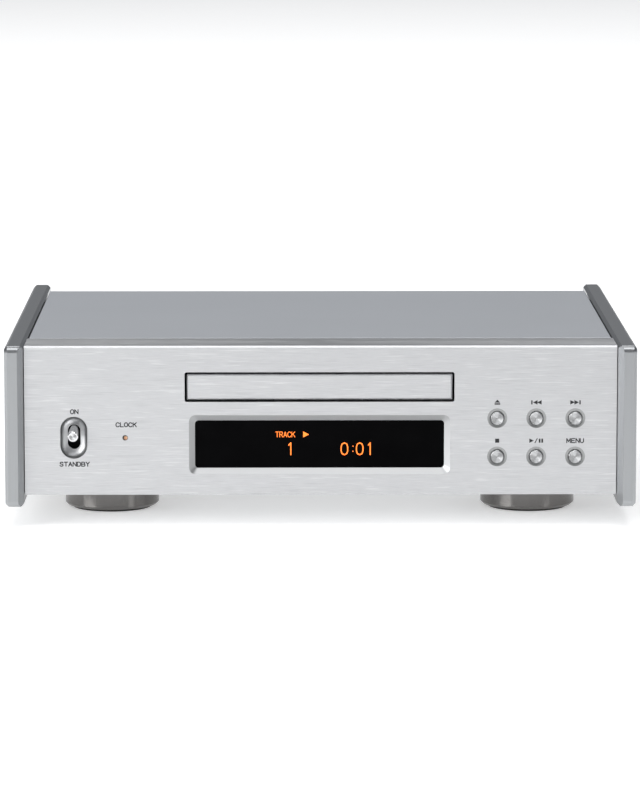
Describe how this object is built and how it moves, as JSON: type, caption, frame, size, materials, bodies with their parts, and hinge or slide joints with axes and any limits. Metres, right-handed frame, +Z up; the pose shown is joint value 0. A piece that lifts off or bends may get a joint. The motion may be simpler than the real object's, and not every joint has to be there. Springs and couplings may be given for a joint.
{
  "type": "cd player",
  "caption": "Slim disc player: front-loading tray, sunk display, round buttons, power toggle and three metal feet, with its disc drive, supply and rear sockets.",
  "frame": {"origin": "on the floor under the middle of the case's box", "axes": "+X to the viewer's right along the front, +Y from front to back, +Z up"},
  "size_m": [0.29, 0.2491, 0.0845],
  "materials": {
    "silver_front": "fine horizontal brushed, clear anodised",
    "silver_side": "satin anodised",
    "silver_cover": "satin anodised, slightly bluer",
    "plated_steel": "zinc-plated sheet",
    "black_sheet": "fine textured black paint",
    "dark_glass": "clear over black, glossy",
    "black_plastic": "fine moulded grain",
    "grey_plastic": "fine moulded grain",
    "white_plastic": "natural gear plastic",
    "board_green": "solder mask over laminate",
    "amber_light": "clear amber",
    "chrome_trim": "bright nickel plate",
    "foot_metal": "dark bright nickel on machined aluminium",
    "soft_pad": "felted rubber",
    "copper_tape": "amber polyester wrap over copper",
    "gold_plate": "gold plated",
    "magnet_steel": "turned steel"
  },
  "bodies": {
    "case": {"front_panel": "silver_front", "left_side_panel": "silver_side", "right_side_panel": "silver_side", "top_cover": "silver_cover", "bottom_chassis": "plated_steel", "front_bracket": "black_sheet", "rear_panel": "black_sheet", "display_window": "dark_glass", "display_module": "black_plastic", "front_circuit_board": "board_green", "tact_switches": "black_plastic", "clock_light": "amber_light", "power_switch": "black_plastic", "front_left_foot": "foot_metal", "front_right_foot": "foot_metal", "rear_foot": "foot_metal", "foot_pads": "soft_pad", "foot_bolts": "plated_steel", "loader_frame": "black_plastic", "loading_motor": "magnet_steel", "loading_belt": "soft_pad", "clamp_bridge": "plated_steel", "toroidal_transformer": "copper_tape", "transformer_clamp": "plated_steel", "power_supply_board": "board_green", "supply_capacitors": "black_plastic", "heat_sink": "black_sheet", "main_board": "board_green", "board_chips": "black_plastic", "mains_inlet": "black_plastic", "coaxial_socket": "gold_plate", "clock_socket": "chrome_trim", "optical_socket": "black_plastic", "ribbon_cable": "white_plastic", "case_screws": "black_sheet", "standoffs": "plated_steel"},
    "toggle": {"power_toggle": "chrome_trim"},
    "eject_button_body": {"eject_button": "silver_side"},
    "previous_button_body": {"previous_button": "silver_side"},
    "next_button_body": {"next_button": "silver_side"},
    "stop_button_body": {"stop_button": "silver_side"},
    "play_button_body": {"play_button": "silver_side"},
    "menu_button_body": {"menu_button": "silver_side"},
    "tray": {"disc_tray": "grey_plastic", "tray_door": "silver_front"},
    "drive_wheel": {"drive_gear": "white_plastic"},
    "belt_drive": {"belt_wheel": "white_plastic"},
    "pulley": {"motor_pulley": "gold_plate"},
    "cam": {"cam_slider": "white_plastic"},
    "traverse": {"traverse_frame": "plated_steel", "guide_rods": "magnet_steel", "spindle_motor": "magnet_steel", "sled_motor": "magnet_steel"},
    "spindle": {"turntable": "grey_plastic"},
    "clamp": {"disc_clamp": "white_plastic"},
    "pickup": {"pickup_sled": "black_plastic"},
    "lens": {"lens_holder": "grey_plastic"},
    "sled_wheel": {"sled_gear": "white_plastic"},
    "sled_drive": {"sled_pinion": "white_plastic"},
    "flap": {"optical_flap": "grey_plastic"}
  },
  "joints": [
    {"name": "power_toggle_tilt", "type": "hinge", "parent": "case", "child": "toggle", "pos_m": [-0.1135, -0.1055, 0.0461], "axis": [1, 0, 0], "range_deg": [0, 20]},
    {"name": "eject_button_press", "type": "slide", "parent": "case", "child": "eject_button_body", "axis": [0, 1, 0], "range_m": [0, 0.0008], "stiffness_N_per_m": 900},
    {"name": "previous_button_press", "type": "slide", "parent": "case", "child": "previous_button_body", "axis": [0, 1, 0], "range_m": [0, 0.0008], "stiffness_N_per_m": 900},
    {"name": "next_button_press", "type": "slide", "parent": "case", "child": "next_button_body", "axis": [0, 1, 0], "range_m": [0, 0.0008], "stiffness_N_per_m": 900},
    {"name": "stop_button_press", "type": "slide", "parent": "case", "child": "stop_button_body", "axis": [0, 1, 0], "range_m": [0, 0.0008], "stiffness_N_per_m": 900},
    {"name": "play_button_press", "type": "slide", "parent": "case", "child": "play_button_body", "axis": [0, 1, 0], "range_m": [0, 0.0008], "stiffness_N_per_m": 900},
    {"name": "menu_button_press", "type": "slide", "parent": "case", "child": "menu_button_body", "axis": [0, 1, 0], "range_m": [0, 0.0008], "stiffness_N_per_m": 900},
    {"name": "tray_slide", "type": "slide", "parent": "case", "child": "tray", "axis": [0, -1, 0], "range_m": [0, 0.135]},
    {"name": "drive_gear_spin", "type": "hinge", "parent": "case", "child": "drive_wheel", "pos_m": [0.0365, -0.088, 0.00006], "axis": [0, 0, 1], "range_deg": [-0.5, 773.99]},
    {"name": "belt_wheel_spin", "type": "hinge", "parent": "case", "child": "belt_drive", "pos_m": [0.0365, -0.0706, 0], "axis": [0, 0, 1], "range_deg": [-2431.48, 0.5]},
    {"name": "motor_pulley_spin", "type": "hinge", "parent": "case", "child": "pulley", "pos_m": [0.0365, -0.04, 0], "axis": [0, 0, 1], "range_deg": [-8324.76, 0.5]},
    {"name": "traverse_lift", "type": "slide", "parent": "case", "child": "traverse", "axis": [0, 0, 1], "range_m": [0, 0.008]},
    {"name": "cam_slide", "type": "slide", "parent": "case", "child": "cam", "axis": [-1, 0, 0], "range_m": [0, 0.014]},
    {"name": "spindle_spin", "type": "hinge", "parent": "traverse", "child": "spindle", "pos_m": [-0.0005, -0.0445, 0], "axis": [0, 0, 1], "continuous": true},
    {"name": "clamp_spin", "type": "hinge", "parent": "case", "child": "clamp", "pos_m": [-0.0005, -0.0445, 0], "axis": [0, 0, 1], "continuous": true},
    {"name": "pickup_slide", "type": "slide", "parent": "traverse", "child": "pickup", "axis": [0, 1, 0], "range_m": [0, 0.035]},
    {"name": "lens_focus", "type": "slide", "parent": "pickup", "child": "lens", "axis": [0, 0, 1], "range_m": [-0.0006, 0.0006], "stiffness_N_per_m": 400},
    {"name": "sled_gear_spin", "type": "hinge", "parent": "traverse", "child": "sled_wheel", "pos_m": [0.0185, 0.0065, 0], "axis": [0, 0, 1], "range_deg": [-251.17, 0.5]},
    {"name": "sled_pinion_spin", "type": "hinge", "parent": "traverse", "child": "sled_drive", "pos_m": [0.0185, 0.017, 0], "axis": [0, 0, 1], "range_deg": [-0.5, 802.64]},
    {"name": "optical_flap_swing", "type": "hinge", "parent": "case", "child": "flap", "pos_m": [0.089, 0.0968, 0.0498], "axis": [-1, 0, 0], "range_deg": [0, 80], "stiffness_Nm_per_rad": 0.002}
  ],
  "couplings": [
    {"joint": "drive_gear_spin", "follows": "tray_slide", "rad_per_m": 100},
    {"joint": "belt_wheel_spin", "follows": "tray_slide", "rad_per_m": -314.29},
    {"joint": "motor_pulley_spin", "follows": "tray_slide", "rad_per_m": -1076.2},
    {"joint": "cam_slide", "follows": "traverse_lift", "ratio": 1.75},
    {"joint": "clamp_spin", "follows": "spindle_spin", "ratio": 1},
    {"joint": "sled_gear_spin", "follows": "pickup_slide", "rad_per_m": -125},
    {"joint": "sled_pinion_spin", "follows": "pickup_slide", "rad_per_m": 400}
  ]
}
